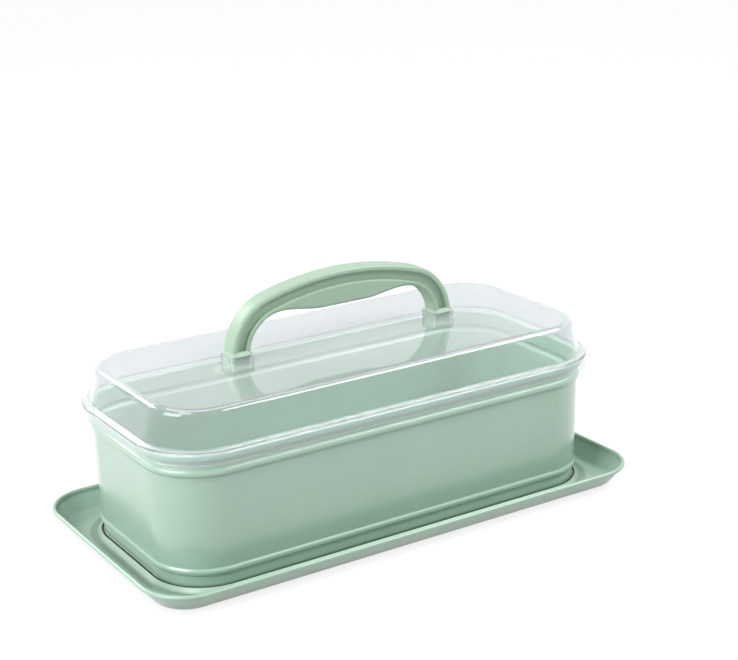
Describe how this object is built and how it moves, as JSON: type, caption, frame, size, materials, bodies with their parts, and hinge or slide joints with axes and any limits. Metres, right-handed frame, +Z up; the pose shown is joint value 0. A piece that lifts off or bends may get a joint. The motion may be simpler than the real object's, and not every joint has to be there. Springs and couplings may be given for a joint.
{
  "type": "cake container",
  "caption": "Long rounded loaf-cake container: beaded box in a rimmed tray, under a clear domed lid with an arched carrying handle.",
  "frame": {"origin": "middle of the flat foot of the tray", "axes": "+X along the length, +Y across the width, away from the picture's camera, +Z up"},
  "size_m": [0.3864, 0.2004, 0.174],
  "materials": {
    "sage_enamel": "satin",
    "clear_plastic": "polished",
    "sage_plastic": "satin"
  },
  "bodies": {
    "tray_body": {"tray": "sage_enamel"},
    "box_body": {"box_wall": "sage_enamel", "box_floor": "sage_enamel"},
    "lid_body": {"lid": "clear_plastic", "handle": "sage_plastic"}
  },
  "joints": [
    {"name": "box_lift", "type": "slide", "parent": "tray_body", "child": "box_body", "axis": [0, 0, 1], "range_m": [0, 0.1]},
    {"name": "lid_lift", "type": "slide", "parent": "box_body", "child": "lid_body", "axis": [0, 0, 1], "range_m": [0, 0.12]}
  ]
}
